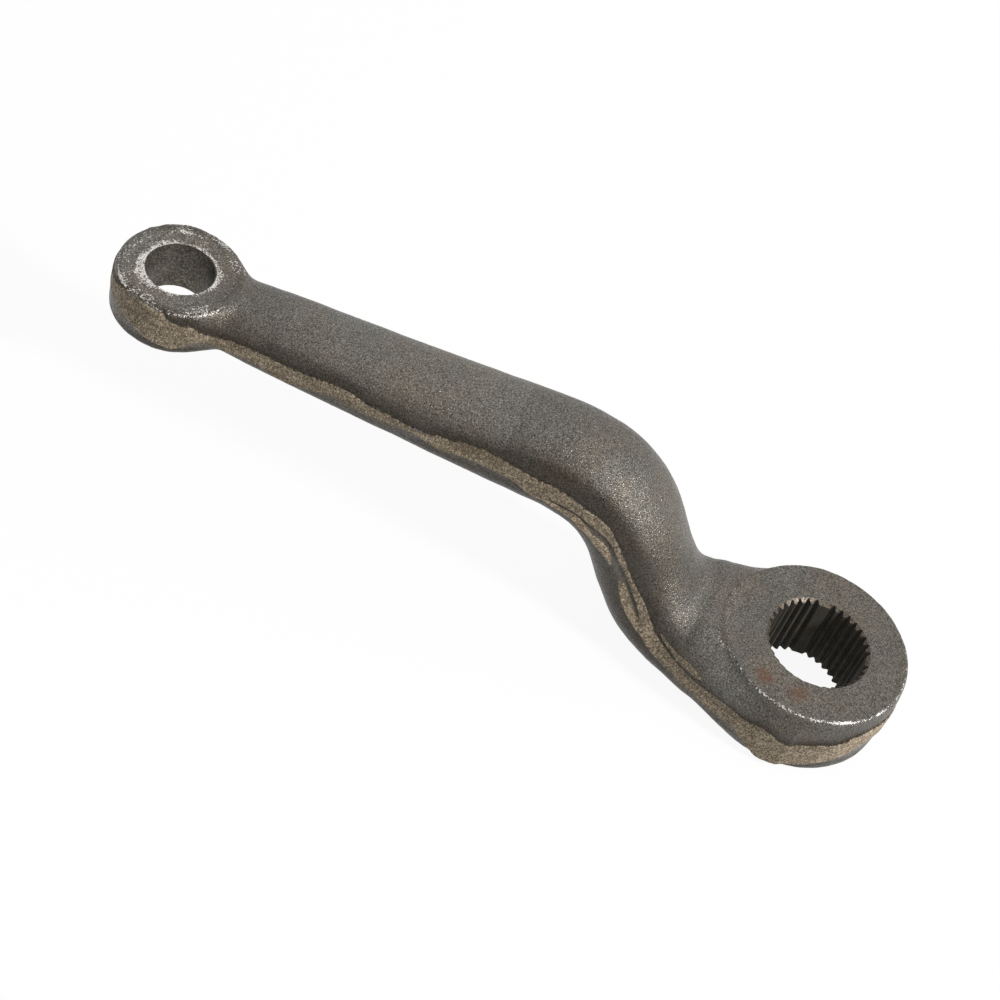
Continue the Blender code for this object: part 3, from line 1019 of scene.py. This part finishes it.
def forged_scale():
    """Shot-blasted scale, with the tan trimmed flash, silvery wear, a painted rim highlight, painted shade
    and rust where they are painted.
    """
    s = Shader("forged_scale")
    place = s.place()
    blotch = s.remap(s.noise(place, 70, 3, 0.55), 0.35, 0.65)
    cloud = s.remap(s.noise(place, 190, 3, 0.6), 0.3, 0.7)
    scale = s.mix(blotch, (0.138, 0.131, 0.116, 1), (0.152, 0.132, 0.106, 1))
    scale = s.mix(cloud, s.mix(1.0, scale, (0.86, 0.86, 0.87, 1), "MULTIPLY"), scale)
    grain = s.noise(place, 2150, 2, 0.6)
    fine = s.noise(place, 3500, 1, 0.5)
    pits = s.remap(grain, 0.49, 0.35)
    scale = s.mix(s.math("MULTIPLY", pits, 0.75), scale, (0.030, 0.028, 0.024, 1))
    specks = s.math("MULTIPLY", s.remap(grain, 0.50, 0.63), s.remap(fine, 0.42, 0.58))
    scale = s.mix(s.math("MULTIPLY", specks, 0.6), scale, (0.38, 0.36, 0.32, 1))
    # Painted shade: the scale turns darker and browner where the painted shade attribute is high
    painted_shade_here = s.attribute("painted_shade")
    scale_in_painted_shade = s.mix(1.0, scale, (0.265, 0.23, 0.19, 1), "MULTIPLY")
    scale = s.mix(s.math("MULTIPLY", painted_shade_here, 0.9), scale, scale_in_painted_shade)

    strip = s.attribute("strip", "Vector")
    ragged = s.noise(s.scaled(strip, (0.7, 0.7, 1)), 1, 3, 0.6)
    edge = s.math("ADD", s.attribute("flash"), s.remap(ragged, 0.25, 0.75, -0.22, 0.22))
    flash = s.remap(edge, -0.12, 0.10)
    mottle = s.noise(s.scaled(strip, (1.5, 1.1, 1)), 1, 3, 0.65)
    teeth = s.noise(s.scaled(strip, (1.7, 0.35, 1)), 1, 2, 0.6)
    stain = s.noise(s.scaled(strip, (0.17, 0.4, 1)), 1, 2, 0.5)
    tan = s.mix(s.remap(stain, 0.35, 0.65), (0.190, 0.152, 0.108, 1), (0.320, 0.262, 0.190, 1))
    tan = s.mix(s.remap(mottle, 0.38, 0.58), s.mix(1.0, tan, (0.40, 0.38, 0.34, 1), "MULTIPLY"), tan)
    tan = s.mix(s.remap(teeth, 0.40, 0.60, 0.6, 0), tan, s.mix(1.0, tan, (0.5, 0.48, 0.45, 1), "MULTIPLY"))
    dashes = s.math("MULTIPLY", s.remap(teeth, 0.42, 0.34), s.remap(stain, 0.48, 0.62))
    tan = s.mix(s.math("MULTIPLY", dashes, 0.75), tan, (0.045, 0.036, 0.026, 1))
    tan = s.mix(s.math("MULTIPLY", s.attribute("stain"), 0.7), tan, (0.095, 0.070, 0.042, 1))
    grit_tone = s.noise(place, 2300, 2, 0.7)
    tan = s.mix(s.remap(grit_tone, 0.5, 0.34, 0, 0.75), tan, (0.062, 0.050, 0.036, 1))
    tan = s.mix(s.remap(grit_tone, 0.52, 0.68, 0, 0.6), tan, (0.52, 0.44, 0.33, 1))
    tan = s.mix(s.attribute("pale"), tan, s.mix(1.0, tan, (1.40, 1.38, 1.36, 1), "MULTIPLY"))
    colour = s.mix(flash, scale, tan)

    wear_and_highlight_noise = s.math("ADD", s.remap(grain, 0.3, 0.7, -1.2, 1.2, False), s.remap(cloud, 0, 1, -0.6, 0.4))
    bright = s.remap(s.math("ADD", s.attribute("bright"), wear_and_highlight_noise), 0.0, 0.8)
    bright = s.math("MULTIPLY", bright, s.remap(fine, 0.40, 0.54, 0.3, 1.0))
    # Silvery wear, and the painted highlight along the shaft eye's rim
    colour = s.mix(s.math("MULTIPLY", bright, 0.92), colour, (0.80, 0.77, 0.72, 1))

    rust_noise = s.math("MULTIPLY", s.attribute("rust"), s.remap(s.noise(place, 900, 3, 0.6), 0.3, 0.62))
    colour = s.mix(s.math("MULTIPLY", rust_noise, 0.85), colour, (0.105, 0.046, 0.023, 1))

    scale_roughness = s.mix_value(specks, s.remap(fine, 0.3, 0.7, 0.30, 0.46), 0.22)
    roughness = s.mix_value(flash, scale_roughness, s.remap(teeth, 0.3, 0.7, 0.72, 0.58))
    roughness = s.mix_value(bright, roughness, 0.42)
    metallic = s.mix_value(flash, 0.55, 0.35)
    metallic = s.mix_value(bright, metallic, 0.6)
    metallic = s.mix_value(rust_noise, metallic, 0.1)

    lumps = s.bump(s.noise(place, 520, 2, 0.6), 0.00022, 0.5)
    grit = s.bump(grain, 0.00030, 1.0, lumps)
    lines = s.bump(mottle, 0.00022, 0.7, lumps)
    normal = s.node("ShaderNodeMix", data_type="VECTOR")
    s.feed(normal.inputs["Factor"], flash)
    s.feed(normal.inputs["A"], grit)
    s.feed(normal.inputs["B"], lines)
    s.surface.inputs["Specular IOR Level"].default_value = 0.22
    return s.finish(colour, roughness, metallic, normal.outputs["Result"])


def broached_wall():
    """Near-black brown wall of the serrations, with fine lines down the bore."""
    s = Shader("broached_wall")
    place = s.place()
    lines = s.noise(s.scaled(place, (3600, 3600, 110)), 1, 2, 0.6)
    blotch = s.noise(place, 240, 3, 0.6)
    colour = s.mix(s.remap(lines, 0.32, 0.70), (0.016, 0.014, 0.010, 1), (0.060, 0.052, 0.038, 1))
    colour = s.mix(s.remap(blotch, 0.5, 0.7, 0, 0.6), colour, (0.042, 0.027, 0.015, 1))
    roughness = s.remap(blotch, 0.3, 0.7, 0.7, 0.85)
    return s.finish(colour, roughness, 0.25, s.bump(lines, 0.0001, 0.6))


def chamfered_ends():
    """Cut steel between dark brown and tan, on the chamfer and the ends of the teeth."""
    s = Shader("chamfered_ends")
    place = s.place()
    speck = s.noise(place, 1700, 3, 0.6)
    colour = s.mix(s.remap(speck, 0.35, 0.65), (0.036, 0.029, 0.022, 1), (0.16, 0.13, 0.10, 1))
    return s.finish(colour, s.remap(speck, 0.3, 0.7, 0.55, 0.4), 0.6, s.bump(speck, 0.00008, 0.6))


def reamed_taper():
    """Smooth dark wall of the tapered bore, with faint turning lines."""
    s = Shader("reamed_taper")
    place = s.place()
    rings = s.noise(s.scaled(place, (120, 120, 3200)), 1, 2, 0.5)
    cloud = s.noise(place, 260, 3, 0.6)
    speck = s.noise(place, 1700, 2, 0.6)
    colour = s.mix(s.remap(cloud, 0.38, 0.66), (0.088, 0.080, 0.068, 1), (0.135, 0.120, 0.097, 1))
    colour = s.mix(s.remap(rings, 0.5, 0.75, 0, 0.5), colour, (0.05, 0.043, 0.034, 1))
    colour = s.mix(s.remap(speck, 0.52, 0.64, 0, 0.7), colour, (0.27, 0.24, 0.19, 1))
    colour = s.mix(s.remap(speck, 0.46, 0.36, 0, 0.8), colour, (0.030, 0.026, 0.021, 1))
    return s.finish(colour, s.remap(cloud, 0.3, 0.7, 0.4, 0.55), 0.75, s.bump(rings, 0.00006, 0.5))


def forged_arm():
    forging = Forging()
    points, quads = surface_net(*sample_grid(forging))
    points = settle(points, forging.rough)
    piece = mesh_object("forged_arm", points, quads, [forged_scale()])
    thin_out(piece)
    cut(piece, bore_cutters(broached_wall(), chamfered_ends(), reamed_taper()))
    drop_fins(piece)
    piece.data.shade_smooth()
    piece.data.set_sharp_from_angle(angle=SHARP_ANGLE)
    paint(piece, forging)
    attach(piece, "root")
    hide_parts("pitman_arm")


def add_camera():
    """The photograph's camera, from a fit of the bores' rims and the edges."""
    data = bpy.data.cameras.new("camera")
    data.sensor_width = 36
    data.lens = 78.251
    data.clip_start = 0.01
    camera = bpy.data.objects.new("camera", data)
    right = Vector((-0.911716, -0.331414, 0.242773))
    up = Vector((0.408662, -0.671119, 0.618542))
    back = right.cross(up)
    turn = Matrix((right, up, back)).transposed()
    camera.matrix_world = Matrix.Translation((0.074936, 0.421958, 0.500137)) @ turn.to_4x4()
    bpy.context.scene.collection.objects.link(camera)
    bpy.context.scene.camera = camera


def seen_or_mirrored(tree):
    """1 for rays from the camera and for those that glossy or clear surfaces send on."""
    path = tree.nodes.new("ShaderNodeLightPath")
    total = path.outputs["Is Camera Ray"]
    for name in ("Is Glossy Ray", "Is Transmission Ray"):
        add = tree.nodes.new("ShaderNodeMath")
        add.operation = "ADD"
        add.use_clamp = True
        tree.links.new(total, add.inputs[0])
        tree.links.new(path.outputs[name], add.inputs[1])
        total = add.outputs[0]
    return total


def add_floor():
    """A pale floor that shows white with a faint shadow of the part."""
    bpy.ops.mesh.primitive_plane_add(size=6, location=(0.1, 0, -0.0006))
    floor = bpy.context.object
    floor.name = "floor"
    material = bpy.data.materials.new("floor_paper")
    material.use_nodes = True
    tree = material.node_tree
    surface = tree.nodes["Principled BSDF"]
    grain = tree.nodes.new("ShaderNodeTexNoise")
    grain.inputs["Scale"].default_value = 40
    pale = tree.nodes.new("ShaderNodeMix")
    pale.data_type = "RGBA"
    pale.inputs["A"].default_value = (0.80, 0.80, 0.79, 1)
    pale.inputs["B"].default_value = (0.82, 0.82, 0.81, 1)
    tree.links.new(grain.outputs["Fac"], pale.inputs["Factor"])
    tree.links.new(pale.outputs["Result"], surface.inputs["Base Color"])
    surface.inputs["Roughness"].default_value = 0.9
    white = tree.nodes.new("ShaderNodeEmission")
    mix = tree.nodes.new("ShaderNodeMixShader")
    share = tree.nodes.new("ShaderNodeMath")
    share.operation = "MULTIPLY"
    share.inputs[1].default_value = 0.92
    tree.links.new(seen_or_mirrored(tree), share.inputs[0])
    tree.links.new(share.outputs[0], mix.inputs[0])
    tree.links.new(surface.outputs[0], mix.inputs[1])
    tree.links.new(white.outputs[0], mix.inputs[2])
    tree.links.new(mix.outputs[0], tree.nodes["Material Output"].inputs["Surface"])
    floor.data.materials.append(material)


def add_world():
    world = bpy.data.worlds.new("studio")
    bpy.context.scene.world = world
    world.use_nodes = True
    tree = world.node_tree
    background = tree.nodes["Background"]
    background.inputs["Color"].default_value = (1, 1, 1, 1)
    strength = tree.nodes.new("ShaderNodeMapRange")
    strength.inputs["To Min"].default_value = 0.55
    strength.inputs["To Max"].default_value = 1.0
    tree.links.new(seen_or_mirrored(tree), strength.inputs["Value"])
    tree.links.new(strength.outputs["Result"], background.inputs["Strength"])


def add_lamp(name, place, aim, size, power):
    data = bpy.data.lights.new(name, "AREA")
    data.size = size
    data.energy = power
    lamp = bpy.data.objects.new(name, data)
    lamp.location = place
    lamp.rotation_euler = (Vector(aim) - Vector(place)).to_track_quat("-Z", "Y").to_euler()
    bpy.context.scene.collection.objects.link(lamp)


def add_lights():
    middle = (0.1, 0, 0.03)
    add_lamp("key", (-1.22, 0.34, 1.05), middle, 0.24, 31)
    add_lamp("top", (0.2, -0.55, 0.86), middle, 0.6, 1.0)


forged_arm()
add_camera()
add_floor()
add_world()
add_lights()
bpy.context.scene.view_settings.view_transform = "Standard"
